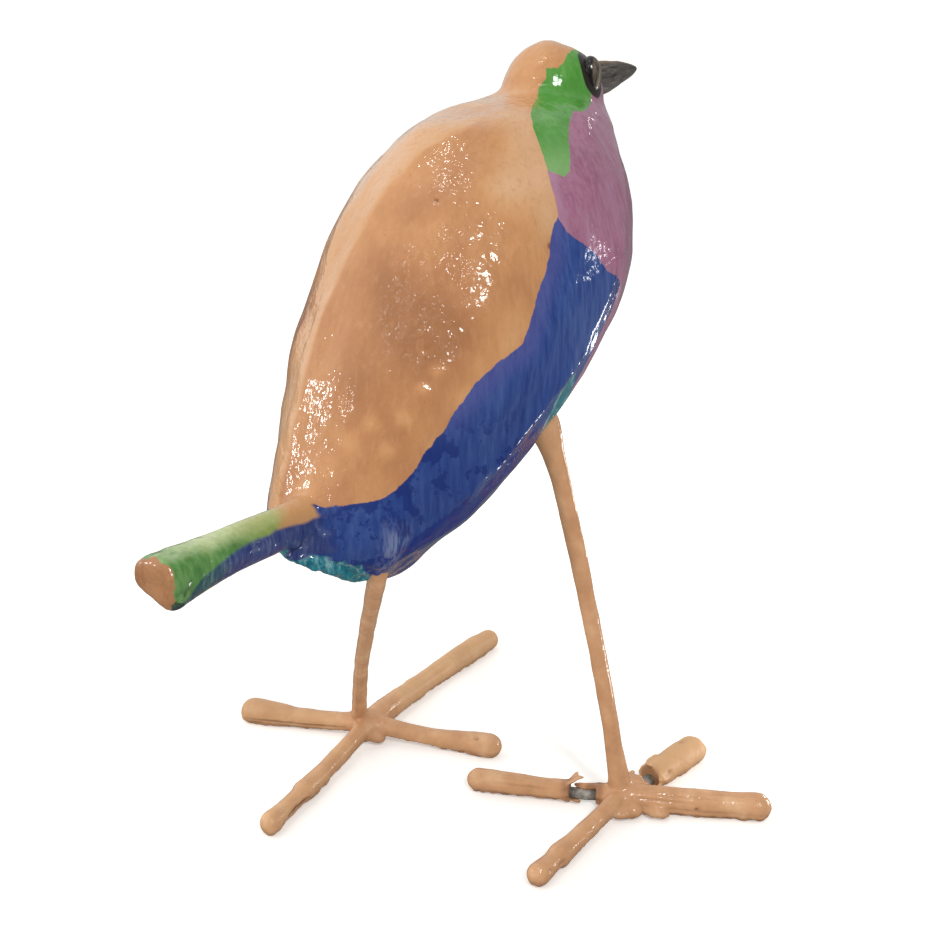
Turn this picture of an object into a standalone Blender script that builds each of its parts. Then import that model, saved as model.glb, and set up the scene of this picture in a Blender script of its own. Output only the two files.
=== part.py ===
"""A small bird figurine made from a seedpod, with a thorn beak, bead eyes and bent wire legs.

The bird faces -Y and its right side is -X. Shapes are drawn in the bird's own directions, which are
right, ahead and up, measured from the floor point midway between its feet. At the end everything is
moved so that the origin is at the middle of the whole figurine's underside.
"""

import math

import bmesh
import bpy
from mathutils import Matrix, Vector, noise

MM = 0.001

# Driving dimensions, in metres.
BODY_HEIGHT = 0.0884  # lowest point of the pod to the crown of the head
POD_LIFT = 0.0542  # floor to the lowest point of the pod
STALK_LENGTH = 0.0338  # the part of the tail that stands clear of the pod
STALK_BASE_DIAMETER = 0.0069
STALK_END_DIAMETER = 0.0088
BEAK_LENGTH = 0.0172
BEAK_BASE_DIAMETER = 0.0076
BEAK_TURN = math.radians(7.5)  # towards the bird's right
BEAK_DEPTH = 0.0042  # how deep the thorn's root sits in the head
EYE_HEIGHT = 0.0066
EYE_WIDTH = 0.0048
EYE_BULGE = 0.0012
WIRE_DIAMETER = 0.0022
LEG_DIAMETER = 0.0031  # wire with its paste coat
LEG_DEPTH = 0.0065  # how deep each wire goes into the pod
TOE_DIAMETER = 0.0052
HUB_DIAMETER = 0.0068
TOE_START_SHARE = 0.125  # how far from the centre of its hub each toe starts, in shares of HUB_DIAMETER
TOE_FLAT = 0.0022  # height of a toe's axis over the flat that it stands on
CLEARANCE = 0.0003

# How finely the solids are cut.
BODY_SIDES = 36
RINGS_PER_STATION = 2
STALK_SIDES = 18
BEAK_SIDES = 16
EYE_SEGMENTS = 14
EYE_RINGS = 9
HUB_SEGMENTS = 16
HUB_RINGS = 10
WIRE_BEVEL = 3
STEPS_PER_TOE = 9
STEPS_PER_LEG = 7
SOCKET_LEAD_STEPS = 4  # how many steps of its leg a socket starts outside the pod
TIP_TURNS = (30, 55, 75)  # the rings that round off a toe's tip, in degrees

# The body's level sections, from the pod's lowest point to the crown, in shares of BODY_HEIGHT.
# Each row holds the height, how far back and how far ahead the section reaches, and its half width.
SECTIONS = (
    (0.000, -0.424, -0.398, 0.014),
    (0.013, -0.456, -0.345, 0.055),
    (0.037, -0.503, -0.311, 0.087),
    (0.060, -0.545, -0.278, 0.108),
    (0.087, -0.588, -0.234, 0.134),
    (0.116, -0.613, -0.182, 0.165),
    (0.148, -0.612, -0.127, 0.191),
    (0.216, -0.583, -0.028, 0.221),
    (0.281, -0.550, 0.060, 0.244),
    (0.351, -0.516, 0.147, 0.265),
    (0.425, -0.488, 0.230, 0.283),
    (0.498, -0.446, 0.287, 0.289),
    (0.572, -0.405, 0.332, 0.288),
    (0.651, -0.362, 0.342, 0.275),
    (0.728, -0.304, 0.338, 0.248),
    (0.790, -0.240, 0.342, 0.203),
    (0.841, -0.178, 0.350, 0.160),
    (0.862, -0.112, 0.353, 0.135),
    (0.876, -0.028, 0.354, 0.115),
    (0.887, 0.064, 0.353, 0.104),
    (0.900, 0.108, 0.350, 0.101),
    (0.920, 0.115, 0.341, 0.097),
    (0.940, 0.124, 0.329, 0.090),
    (0.960, 0.138, 0.308, 0.077),
    (0.980, 0.160, 0.270, 0.053),
    (0.993, 0.186, 0.238, 0.027),
    (1.000, 0.208, 0.220, 0.008),
)
UNEVEN_SHARE = 0.0055  # how far the hand-laid surface wanders, in shares of BODY_HEIGHT
UNEVEN_PATCH_SHARE = 0.15  # the size of one patch of that, in the same shares

# Places on the body, in shares of BODY_HEIGHT: right, ahead and up from the pod's lowest level.
STALK_ROOT_SHARES = (0.0, -0.565, 0.180)
BEAK_ROOT_SHARES = (0.014, 0.330, 0.909)
EYE_SPOT_SHARES = (0.0875, 0.243, 0.932)
LEFT_LEG_ROOT_SHARES = (0.088, -0.485, 0.056)
RIGHT_LEG_ROOT_SHARES = (0.212, -0.092, 0.246)
POD_HEART_SHARES = (0.0, -0.200, 0.350)
EYE_FACING = Vector((0.93, 0.30, 0.10)).normalized()

# Where each foot's hub stands on the floor, right and ahead, and where its leg comes down.
LEFT_FOOT = (-0.0250, -0.0080)
LEFT_LEG_BASE = (-0.0288, -0.0070)
LEFT_LEG_BOW = -0.0012
RIGHT_FOOT = (0.0320, 0.0006)
RIGHT_LEG_BASE = (0.0316, 0.0012)
RIGHT_LEG_BOW = 0.0012
LEFT_FOOT_RISE = 0.0013  # the hub stands a little off the floor and the toes slope down from it
RIGHT_FOOT_RISE = 0.0006

# Each toe: its length from the hub, its direction from straight ahead towards the bird's right,
# how far its tip bends towards the right, and its thickness at the hub and near its tip, as shares
# of TOE_DIAMETER. A chip is the stretch, from and to, where the paste is gone and the wire shows.
LEFT_TOES = {
    "outer": dict(length=0.0297, turn=-112, bend=0.0006, root_share=0.83, end_share=1.12, chip=None),
    "inner": dict(length=0.0293, turn=71, bend=-0.0004, root_share=0.77, end_share=1.15, chip=None),
    "front": dict(length=0.0510, turn=-9.5, bend=0.0055, root_share=0.90, end_share=0.96, chip=None),
    "back": dict(length=0.0408, turn=168.5, bend=0.0004, root_share=0.80, end_share=0.86, chip=None),
}
INNER_CHIP = (0.0050, 0.0102)
FRONT_CHIP = (0.0058, 0.0086)
RIGHT_TOES = {
    "inner": dict(length=0.0310, turn=-114, bend=0.0004, root_share=0.80, end_share=0.96, chip=INNER_CHIP),
    "outer": dict(length=0.0288, turn=62, bend=-0.0004, root_share=1.05, end_share=1.12, chip=None),
    "front": dict(length=0.0266, turn=7, bend=0.0004, root_share=1.00, end_share=1.30, chip=FRONT_CHIP),
    "back": dict(length=0.0320, turn=179.5, bend=0.0004, root_share=0.74, end_share=0.90, chip=None),
}

COLOURS = {
    "pod": (0.552, 0.287, 0.133),
    "thorn": (0.095, 0.085, 0.072),
    "bead": (0.012, 0.010, 0.009),
    "leg": (0.568, 0.330, 0.184),
}


def at(right, ahead, up):
    """The bird's right, ahead and up as a point in the scene."""
    return Vector((-right, -ahead, up))


def on_body(place):
    right, ahead, up = (share * BODY_HEIGHT for share in place)
    return at(right, ahead, POD_LIFT + up)


def clear_scene():
    for thing in list(bpy.data.objects):
        bpy.data.objects.remove(thing, do_unlink=True)


def collection(name, shown):
    made = bpy.data.collections.new(name)
    bpy.context.scene.collection.children.link(made)
    made.hide_render = not shown
    return made


def painted(name, colour, roughness, metallic=0.0):
    """A Principled material in one plain colour."""
    material = bpy.data.materials.new(name)
    material.use_nodes = True
    shader = material.node_tree.nodes["Principled BSDF"]
    shader.inputs["Base Color"].default_value = (*colour, 1.0)
    shader.inputs["Roughness"].default_value = roughness
    shader.inputs["Metallic"].default_value = metallic
    return material


def object_from(bm, name, group):
    """Turns a bmesh into an object of the collection, with its faces pointing out."""
    bm.normal_update()
    bmesh.ops.recalc_face_normals(bm, faces=bm.faces)
    mesh = bpy.data.meshes.new(name)
    bm.to_mesh(mesh)
    bm.free()
    mesh.shade_smooth()
    made = bpy.data.objects.new(name, mesh)
    group.objects.link(made)
    if group.hide_render:
        made.hide_render = True
        made.display_type = "WIRE"
    return made


def loft(rings):
    """A closed bmesh through rings of equally many points."""
    bm = bmesh.new()
    loops = [[bm.verts.new(point) for point in ring] for ring in rings]
    for lower, upper in zip(loops, loops[1:]):
        for this in range(len(lower)):
            after = (this + 1) % len(lower)
            bm.faces.new((lower[this], lower[after], upper[after], upper[this]))
    bm.faces.new(loops[0])
    bm.faces.new(loops[-1])
    return bm


def smooth_between(rows, steps):
    """Rows of numbers on a smooth curve through the given rows, with so many steps to each gap."""
    ends = [rows[0], *rows, rows[-1]]
    found = []
    for before, start, stop, after in zip(ends, ends[1:], ends[2:], ends[3:]):
        for step in range(steps):
            t = step / steps
            found.append([curve_value(a, b, c, d, t) for a, b, c, d in zip(before, start, stop, after)])
    found.append(list(rows[-1]))
    return found


def curve_value(before, start, stop, after, t):
    """A Catmull-Rom curve between start and stop."""
    slope_in = (stop - before) / 2
    slope_out = (after - start) / 2
    rise = start - stop
    cubic = 2 * rise + slope_in + slope_out
    square = -3 * rise - 2 * slope_in - slope_out
    return start + t * (slope_in + t * (square + t * cubic))


def apply_boolean(target, tool, operation):
    """Joins the tool to the target or cuts it away, and keeps the result as the target's mesh."""
    modifier = target.modifiers.new(operation.lower(), "BOOLEAN")
    modifier.operation = operation
    modifier.object = tool
    modifier.solver = "EXACT"
    graph = bpy.context.evaluated_depsgraph_get()
    old_mesh = target.data
    target.data = bpy.data.meshes.new_from_object(target.evaluated_get(graph))
    target.modifiers.remove(modifier)
    bpy.data.meshes.remove(old_mesh)


def join(target, others):
    for other in others:
        apply_boolean(target, other, "UNION")
        bpy.data.objects.remove(other, do_unlink=True)


def body_ring(section):
    up, back, front, half_width = section
    middle = (back + front) / 2
    reach = (front - back) / 2
    ring = []
    for side in range(BODY_SIDES):
        turn = 2 * math.pi * side / BODY_SIDES
        place = (half_width * math.sin(turn), middle + reach * math.cos(turn), up)
        ring.append(on_body(place))
    return ring


def pod_and_head(group):
    """The seedpod with the neck and head built up on it, and its slightly uneven surface."""
    bm = loft([body_ring(row) for row in smooth_between(SECTIONS, RINGS_PER_STATION)])
    bmesh.ops.recalc_face_normals(bm, faces=bm.faces)
    bm.normal_update()
    patch = UNEVEN_PATCH_SHARE * BODY_HEIGHT
    for vertex in bm.verts:
        wander = noise.noise(vertex.co / patch) * UNEVEN_SHARE * BODY_HEIGHT
        vertex.co += vertex.normal * wander
    return object_from(bm, "body", group)


def stalk(group):
    """The pod's own stalk, which is the bird's tail: it widens to a blunt, knobbly end."""
    root = on_body(STALK_ROOT_SHARES)
    hidden = STALK_BASE_DIAMETER
    profile = (
        (-hidden, STALK_BASE_DIAMETER * 0.95),
        (0.0, STALK_BASE_DIAMETER),
        (STALK_LENGTH * 0.35, STALK_BASE_DIAMETER),
        (STALK_LENGTH * 0.70, STALK_END_DIAMETER * 0.92),
        (STALK_LENGTH * 0.86, STALK_END_DIAMETER * 1.02),
        (STALK_LENGTH * 0.96, STALK_END_DIAMETER * 0.96),
        (STALK_LENGTH, STALK_END_DIAMETER * 0.62),
    )
    rings = []
    for back, diameter in smooth_between(profile, RINGS_PER_STATION):
        ring = []
        for side in range(STALK_SIDES):
            turn = 2 * math.pi * side / STALK_SIDES
            out = diameter / 2 * (1 + 0.05 * math.sin(3 * turn + back / STALK_BASE_DIAMETER))
            ring.append(root + at(out * math.cos(turn), -back, out * math.sin(turn)))
        rings.append(ring)
    return object_from(loft(rings), "stalk", group)


def thorn(name, group, grow=0.0):
    """The beak, a straight-topped thorn that points ahead and a little to the right."""
    root = on_body(BEAK_ROOT_SHARES)
    ahead = at(math.sin(BEAK_TURN), math.cos(BEAK_TURN), 0.0)
    across = at(math.cos(BEAK_TURN), -math.sin(BEAK_TURN), 0.0)
    up = Vector((0.0, 0.0, 1.0))
    profile = (
        (-BEAK_DEPTH, 0.72),
        (0.0, 1.00),
        (BEAK_LENGTH * 0.30, 0.86),
        (BEAK_LENGTH * 0.60, 0.62),
        (BEAK_LENGTH * 0.85, 0.34),
        (BEAK_LENGTH * 0.96, 0.15),
        (BEAK_LENGTH, 0.04),
    )
    rings = []
    for along, share in smooth_between(profile, RINGS_PER_STATION):
        radius = BEAK_BASE_DIAMETER / 2 * share + grow
        shift = -grow if along <= -BEAK_DEPTH else 0.0
        rise = max(0.0, along / BEAK_LENGTH) * BEAK_BASE_DIAMETER * 0.30
        ring = []
        for side in range(BEAK_SIDES):
            turn = 2 * math.pi * side / BEAK_SIDES
            offset = across * (radius * 0.86 * math.cos(turn)) + up * (radius * math.sin(turn) + rise)
            ring.append(root + ahead * (along + shift) + offset)
        rings.append(ring)
    return object_from(loft(rings), name, group)


def eye(name, group, side, grow=0.0):
    """A bead half sunk in the head, taller than it is wide. Side is 1 for the right and -1 for the left."""
    bm = bmesh.new()
    bmesh.ops.create_uvsphere(bm, u_segments=EYE_SEGMENTS, v_segments=EYE_RINGS, radius=1.0)
    facing = at(EYE_FACING.x * side, EYE_FACING.y, EYE_FACING.z)
    level = Vector((0.0, 0.0, 1.0)).cross(facing).normalized()
    upright = facing.cross(level)
    radii = (EYE_WIDTH / 2 + grow, EYE_BULGE * 1.6 + grow, EYE_HEIGHT / 2 + grow)
    axes = Matrix((level * radii[0], facing * radii[1], upright * radii[2])).transposed()
    right, ahead, up = EYE_SPOT_SHARES
    centre = on_body((right * side, ahead, up))
    for vertex in bm.verts:
        vertex.co = centre + axes @ vertex.co
    return object_from(bm, name, group)


def tube(name, group, route, diameters):
    """A closed tube along a route, as a welded mesh."""
    curve = bpy.data.curves.new(name, "CURVE")
    curve.dimensions = "3D"
    curve.bevel_depth = 1.0
    curve.bevel_resolution = WIRE_BEVEL
    curve.use_fill_caps = True
    spline = curve.splines.new("POLY")
    spline.points.add(len(route) - 1)
    for point, place, diameter in zip(spline.points, route, diameters):
        point.co = (*place, 1.0)
        point.radius = diameter / 2
    carrier = bpy.data.objects.new(name, curve)
    group.objects.link(carrier)
    graph = bpy.context.evaluated_depsgraph_get()
    mesh = bpy.data.meshes.new_from_object(carrier.evaluated_get(graph))
    bm = bmesh.new()
    bm.from_mesh(mesh)
    bmesh.ops.remove_doubles(bm, verts=bm.verts, dist=MM * 0.001)
    bpy.data.objects.remove(carrier, do_unlink=True)
    bpy.data.curves.remove(curve)
    bpy.data.meshes.remove(mesh)
    return object_from(bm, name, group)


def leg_route(base, root, bow):
    """From inside the foot's hub to inside the pod, bowed sideways in the middle."""
    start = at(*base, TOE_FLAT)
    end = on_body(root)
    inward = (on_body(POD_HEART_SHARES) - end).normalized()
    middle = start.lerp(end, 0.45) + at(bow, 0.0, 0.0)
    rows = [tuple(point) for point in (start, middle, end, end + inward * LEG_DEPTH)]
    return [Vector(row) for row in smooth_between(rows, STEPS_PER_LEG)]


def leg_socket(name, group, route):
    """The hole that the leg's wire fills, a clearance wider all round and deeper."""
    steps_inside = STEPS_PER_LEG + SOCKET_LEAD_STEPS
    inside = route[-steps_inside:]
    beyond = (route[-1] - route[-2]).normalized() * CLEARANCE
    inside[-1] = inside[-1] + beyond
    return tube(name, group, inside, [LEG_DIAMETER + 2 * CLEARANCE] * len(inside))


def toe_point(foot, rise, toe, along):
    """A point on a toe's axis: it leaves the raised hub, comes down to the floor and bends a little."""
    turn = math.radians(toe["turn"])
    share = along / toe["length"]
    aside = toe["bend"] * share**2
    right = foot[0] + along * math.sin(turn) + aside * math.cos(turn)
    ahead = foot[1] + along * math.cos(turn) - aside * math.sin(turn)
    lift = rise * max(0.0, 1 - share / 0.55) ** 1.5
    return at(right, ahead, TOE_FLAT + lift)


def toe_stretch(name, group, foot, rise, toe, start, stop, rounded):
    """The coated stretch of a toe between two distances from the hub, rounded at its tip."""
    def thickness(along):
        growth = (toe["end_share"] - toe["root_share"]) * along / toe["length"]
        return TOE_DIAMETER * (toe["root_share"] + growth)

    tip_radius = thickness(stop) / 2 if rounded else 0.0
    straight = stop - start - tip_radius
    stations = [(start + straight * step / STEPS_PER_TOE, 1.0) for step in range(STEPS_PER_TOE + 1)]
    if rounded:
        for turn in TIP_TURNS:
            along = stop - tip_radius * (1 - math.sin(math.radians(turn)))
            stations.append((along, math.cos(math.radians(turn))))
    route = [toe_point(foot, rise, toe, along) for along, _ in stations]
    diameters = [thickness(along) * share for along, share in stations]
    return tube(name, group, route, diameters)


def toe_pieces(group, foot, rise, label, toe):
    """One toe: a single coated stretch, or two with bare wire between them at a chip."""
    length = toe["length"]
    start = HUB_DIAMETER * TOE_START_SHARE
    if toe["chip"] is None:
        return [toe_stretch(label, group, foot, rise, toe, start, length, True)]
    near, far = toe["chip"]
    wire_ends = (start, near, far, far + TOE_DIAMETER)
    route = [toe_point(foot, rise, toe, along) for along in wire_ends]
    wire = tube(label + " wire", group, route, [WIRE_DIAMETER] * len(route))
    inner = toe_stretch(label + " inner", group, foot, rise, toe, start, near, False)
    outer = toe_stretch(label + " outer", group, foot, rise, toe, far, length, True)
    return [inner, wire, outer]


def hub(group, foot, rise):
    """The lump of paste where a leg and its four toes meet."""
    bm = bmesh.new()
    bmesh.ops.create_uvsphere(bm, u_segments=HUB_SEGMENTS, v_segments=HUB_RINGS, radius=1.0)
    half = HUB_DIAMETER / 2
    centre = at(*foot, TOE_FLAT + rise)
    for vertex in bm.verts:
        x, y, z = vertex.co
        vertex.co = centre + Vector((x * half, y * half, z * half * 0.72))
    return object_from(bm, "hub", group)


def floor_cutter(group):
    """A slab whose top is the floor, so that the toes come out flat below."""
    bm = bmesh.new()
    bmesh.ops.create_cube(bm, size=2 * (POD_LIFT + BODY_HEIGHT))
    for vertex in bm.verts:
        vertex.co.z -= POD_LIFT + BODY_HEIGHT
    return object_from(bm, "floor cutter", group)


def leg(name, group, cutter, foot, rise, route, toes):
    """One wire leg with its foot, a single solid that is flat below."""
    made = tube(name, group, route, [LEG_DIAMETER] * len(route))
    flare = [route[0], route[1].lerp(route[2], 0.5), route[3]]
    flare_diameters = [LEG_DIAMETER * 1.7, LEG_DIAMETER * 1.35, LEG_DIAMETER]
    root_paste = tube("leg foot paste", group, flare, flare_diameters)
    parts = [root_paste, hub(group, foot, rise)]
    for label, toe in toes.items():
        parts += toe_pieces(group, foot, rise, label, toe)
    join(made, parts)
    apply_boolean(made, cutter, "DIFFERENCE")
    return made


def finish(piece, material):
    piece.data.materials.clear()
    piece.data.materials.append(material)
    piece.data.set_sharp_from_angle(angle=math.radians(50))


def put_origin_below_the_middle(pieces):
    """Moves the pieces, through a parent, so that their box stands on the origin."""
    corners = [vertex.co for piece in pieces for vertex in piece.data.vertices]
    lowest = Vector([min(corner[axis] for corner in corners) for axis in range(3)])
    highest = Vector([max(corner[axis] for corner in corners) for axis in range(3)])
    middle = (lowest + highest) / 2
    stand = bpy.data.objects.new("figurine", None)
    bpy.context.scene.collection.objects.link(stand)
    stand.location = (-middle.x, -middle.y, -lowest.z)
    for piece in pieces:
        piece.parent = stand


def build():
    clear_scene()
    parts = collection("seedpod bird figurine", True)
    cutters = collection("cutters", False)

    left_route = leg_route(LEFT_LEG_BASE, LEFT_LEG_ROOT_SHARES, LEFT_LEG_BOW)
    right_route = leg_route(RIGHT_LEG_BASE, RIGHT_LEG_ROOT_SHARES, RIGHT_LEG_BOW)

    body = pod_and_head(parts)
    join(body, [stalk(parts)])
    sockets = [
        thorn("beak socket", cutters, CLEARANCE),
        eye("left eye socket", cutters, -1, CLEARANCE),
        eye("right eye socket", cutters, 1, CLEARANCE),
        leg_socket("left leg socket", cutters, left_route),
        leg_socket("right leg socket", cutters, right_route),
    ]
    for socket in sockets:
        apply_boolean(body, socket, "DIFFERENCE")

    floor = floor_cutter(cutters)
    beak = thorn("beak", parts)
    left_eye = eye("left_eye", parts, -1)
    right_eye = eye("right_eye", parts, 1)
    left_leg = leg("left_leg", parts, floor, LEFT_FOOT, LEFT_FOOT_RISE, left_route, LEFT_TOES)
    right_leg = leg("right_leg", parts, floor, RIGHT_FOOT, RIGHT_FOOT_RISE, right_route, RIGHT_TOES)

    finish(body, painted("painted pod", COLOURS["pod"], 0.25))
    finish(beak, painted("thorn", COLOURS["thorn"], 0.45))
    for bead in (left_eye, right_eye):
        finish(bead, painted(bead.name + " bead", COLOURS["bead"], 0.15))
    for limb in (left_leg, right_leg):
        finish(limb, painted(limb.name + " paint", COLOURS["leg"], 0.30))

    put_origin_below_the_middle([body, beak, left_eye, right_eye, left_leg, right_leg])


build()
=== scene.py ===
"""The looks of the seedpod bird figurine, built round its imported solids.

The bird faces -Y and its right side is -X. Shapes here are drawn in the bird's own directions, right,
ahead and up, in millimetres from the floor point midway between its feet, as in the part's source.
"""

import math

import bmesh  # noqa: E402
import bpy  # noqa: E402
import numpy as np  # noqa: E402
from mathutils import Matrix, Vector, noise  # noqa: E402


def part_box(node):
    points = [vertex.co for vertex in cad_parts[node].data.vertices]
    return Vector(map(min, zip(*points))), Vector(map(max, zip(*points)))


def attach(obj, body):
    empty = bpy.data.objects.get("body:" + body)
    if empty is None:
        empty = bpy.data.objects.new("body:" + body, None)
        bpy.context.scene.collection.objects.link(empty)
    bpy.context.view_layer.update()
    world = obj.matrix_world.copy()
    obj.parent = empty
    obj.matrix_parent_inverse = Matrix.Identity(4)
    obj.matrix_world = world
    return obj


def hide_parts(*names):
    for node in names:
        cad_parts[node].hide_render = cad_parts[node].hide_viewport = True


MM = 0.001
FRAME_SHIFT = np.array((2.342, -18.752, 0.0))  # from the point midway between the feet to the frame
BODY_HEIGHT = 88.4
POD_LIFT = 54.2

# The body's level sections, in shares of its height: height, back, front and half width.
SECTIONS = (
    (0.000, -0.424, -0.398, 0.014), (0.013, -0.456, -0.345, 0.055), (0.037, -0.503, -0.311, 0.087),
    (0.060, -0.545, -0.278, 0.108), (0.087, -0.588, -0.234, 0.134), (0.116, -0.613, -0.182, 0.165),
    (0.148, -0.612, -0.127, 0.191), (0.216, -0.583, -0.028, 0.221), (0.281, -0.550, 0.060, 0.244),
    (0.351, -0.516, 0.147, 0.265), (0.425, -0.488, 0.230, 0.283), (0.498, -0.446, 0.287, 0.289),
    (0.572, -0.405, 0.332, 0.288), (0.651, -0.362, 0.342, 0.275), (0.728, -0.304, 0.338, 0.248),
    (0.790, -0.240, 0.342, 0.203), (0.841, -0.178, 0.350, 0.160), (0.862, -0.112, 0.353, 0.135),
    (0.876, -0.028, 0.354, 0.115), (0.887, 0.064, 0.353, 0.104), (0.900, 0.108, 0.350, 0.101),
    (0.920, 0.115, 0.341, 0.097), (0.940, 0.124, 0.329, 0.090), (0.960, 0.138, 0.308, 0.077),
    (0.980, 0.160, 0.270, 0.053), (0.993, 0.186, 0.238, 0.027), (1.000, 0.208, 0.220, 0.008),
)
POD_SIDES = 128
POD_STEPS = 8  # rings between two sections
POD_VOXEL = 0.485
LEG_VOXEL = 0.24
SMOOTHING = 0.6  # how far each point moves to the middle of its neighbours
UNEVEN_SHARE = 0.0055  # how far the hand-laid surface wanders, in shares of the body's height
UNEVEN_PATCH_SHARE = 0.15

# Outlines of the painted areas in side view, as points ahead and up.
TAN_EDGE = (
    (24.0, 141.6), (20.4, 141.4), (16.9, 140.1), (15.3, 138.9), (13.7, 137.7), (12.3, 137.5), (11.7, 136.0),
    (10.6, 134.1), (4.5, 132.3), (-1.5, 130.7), (-4.6, 128.7), (-6.3, 125.6), (-7.8, 122.6), (-9.8, 119.8),
    (-11.1, 115.7), (-12.4, 114.6), (-13.6, 112.8), (-14.3, 110.3), (-16.0, 108.1), (-19.1, 104.0),
    (-21.3, 100.3), (-23.5, 96.7), (-27.6, 94.5), (-31.8, 91.3), (-35.5, 86.8), (-37.6, 83.4), (-40.3, 80.3),
    (-41.6, 78.0), (-45.0, 75.1), (-46.7, 74.1), (-50.7, 73.3), (-51.6, 72.7), (-52.2, 73.2),
)
GREEN_EDGE = (
    (24.5, 141.0), (23.0, 140.6), (22.4, 136.0), (19.7, 134.1), (18.5, 132.4), (15.6, 131.3), (12.0, 130.7),
    (9.1, 130.8), (6.2, 129.9), (1.1, 126.8), (-1.9, 124.1), (-3.9, 122.0), (-6.1, 121.3), (-8.4, 122.6),
    (-9.5, 124.5), (-9.5, 200.0), (24.5, 200.0),
)
BLUE_TOP = (
    (-13.0, 115.8), (-11.3, 115.6), (-10.3, 112.9), (-7.2, 110.7), (-4.3, 108.8), (-1.4, 105.4),
    (5.2, 102.7), (5.4, 101.4), (2.5, 97.4), (-1.8, 93.9), (-4.3, 90.9), (-6.6, 87.8), (-8.7, 84.0),
)
# On the neck and the head the tan ends so far from the middle: points ahead, half width, lowest point up.
CROWN = (
    (-7.8, 17.1, 118.0), (-6.3, 14.7, 119.0), (-4.6, 12.1, 120.0), (-1.5, 9.4, 122.0), (4.5, 6.3, 124.0),
    (10.6, 3.3, 126.0), (11.7, 4.1, 127.0), (12.3, 3.6, 128.0), (13.7, 5.3, 129.0), (15.3, 5.6, 130.5),
    (16.9, 5.2, 132.0), (20.4, 4.7, 135.0), (22.2, 5.3, 136.5), (27.0, 3.2, 137.0), (31.0, 1.5, 137.5),
)
# Soft ridges of the paste, as lines through points right, ahead and up.
KEEL = (
    (5.3, -13.5, 128.7), (1.2, -19.2, 125.7), (-1.7, -25.0, 120.3), (-3.4, -30.9, 112.7),
    (-5.3, -32.7, 108.6), (-7.0, -37.5, 99.1), (-6.7, -41.8, 91.5), (-6.4, -45.1, 83.8), (-5.5, -48.9, 76.3),
)
FLANK = (
    (24.5, 6.0, 109.0), (25.6, 0.5, 104.0), (25.6, -3.0, 99.8), (25.6, -6.8, 95.8), (25.6, -8.9, 92.6),
    (25.3, -12.7, 88.8), (24.4, -16.1, 86.0), (23.2, -19.0, 83.1), (22.3, -22.2, 80.2), (21.1, -26.5, 77.3),
    (20.1, -30.5, 74.6), (19.2, -33.0, 72.6),
)
BELLY = (
    (-60.0, 0.0), (-60.0, 60.0), (-36.0, 70.0), *((ahead, up) for _, ahead, up in reversed(FLANK)),
    (60.0, 150.0), (60.0, 0.0),
)
NEAR_LEG_RIDGE = ((5.7, -40.5, 58.0), (11.6, -45.6, 63.5), (13.4, -45.9, 66.6), (13.9, -45.0, 69.1),
                  (14.4, -43.8, 71.4))


def to_frame(points):
    """Right, ahead and up in millimetres as points of the frame, in metres."""
    points = np.asarray(points, float)
    return (points * (-1, -1, 1) + FRAME_SHIFT) * MM


def to_bird(points):
    """Points of the frame, in metres, as right, ahead and up in millimetres."""
    return (np.asarray(points, float) / MM - FRAME_SHIFT) * (-1, -1, 1)


def body_point(shares):
    """A point given in shares of the body's height, from the pod's lowest level."""
    return np.array(shares) * BODY_HEIGHT + (0, 0, POD_LIFT)


def mirror(places):
    """The same places, with those left of the middle moved over to the right."""
    return places * (0, 1, 1) + np.abs(places) * (1, 0, 0)


def curve_through(rows, steps):
    """Rows of numbers on a Catmull-Rom curve through the given rows, with so many steps to each gap."""
    rows = np.asarray(rows, float)
    ends = np.vstack((rows[:1], rows, rows[-1:]))
    found = []
    for before, start, stop, after in zip(ends, ends[1:], ends[2:], ends[3:]):
        for step in range(steps):
            t = step / steps
            slope_in = (stop - before) / 2
            slope_out = (after - start) / 2
            rise = start - stop
            cubic = 2 * rise + slope_in + slope_out
            square = -3 * rise - 2 * slope_in - slope_out
            found.append(start + t * (slope_in + t * (square + t * cubic)))
    found.append(rows[-1])
    return np.array(found)


def soft_step(low, high, values):
    """0 at low and 1 at high, with a smooth rise between them."""
    t = np.clip((values - low) / (high - low), 0, 1)
    return t * t * (3 - 2 * t)


def fading(distance, width):
    """1 at no distance, and soon 0 beyond the width."""
    return np.exp(-((distance / width) ** 2))


def outline_distance(outline, x, y):
    """How far each point is from a closed outline. Inside it is positive."""
    corners = np.asarray(outline, float)
    best = np.full(len(x), 1e9)
    inside = np.zeros(len(x), bool)
    for (ax, ay), (bx, by) in zip(corners, np.roll(corners, -1, axis=0)):
        dx, dy = bx - ax, by - ay
        t = np.clip(((x - ax) * dx + (y - ay) * dy) / (dx * dx + dy * dy), 0, 1)
        best = np.minimum(best, np.hypot(x - ax - t * dx, y - ay - t * dy))
        if ay != by:
            inside ^= ((ay > y) != (by > y)) & (x < ax + (bx - ax) * (y - ay) / (by - ay))
    return np.where(inside, best, -best)


def line_distance(places, line):
    """How far each place is from a line through points, and the share of the line passed there."""
    line = np.asarray(line, float)
    steps = np.linalg.norm(np.diff(line, axis=0), axis=1)
    passed = np.concatenate(((0.0,), np.cumsum(steps)))
    best = np.full(len(places), 1e9)
    share = np.zeros(len(places))
    for index, (start, stop) in enumerate(zip(line, line[1:])):
        run = stop - start
        t = np.clip((places - start) @ run / (run @ run), 0, 1)
        away = np.linalg.norm(places - start - t[:, None] * run, axis=1)
        nearer = away < best
        best[nearer] = away[nearer]
        share[nearer] = (passed[index] + t[nearer] * steps[index]) / passed[-1]
    return best, share


def distance_to(centre, places):
    return np.linalg.norm(places - np.asarray(centre), axis=1)


def noise_at(points, patch, seed):
    """Smooth noise from -1 to 1 at points in millimetres, with patches of that size."""
    moved = points / patch + seed
    return np.array([noise.noise(Vector(p)) for p in moved])


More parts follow.
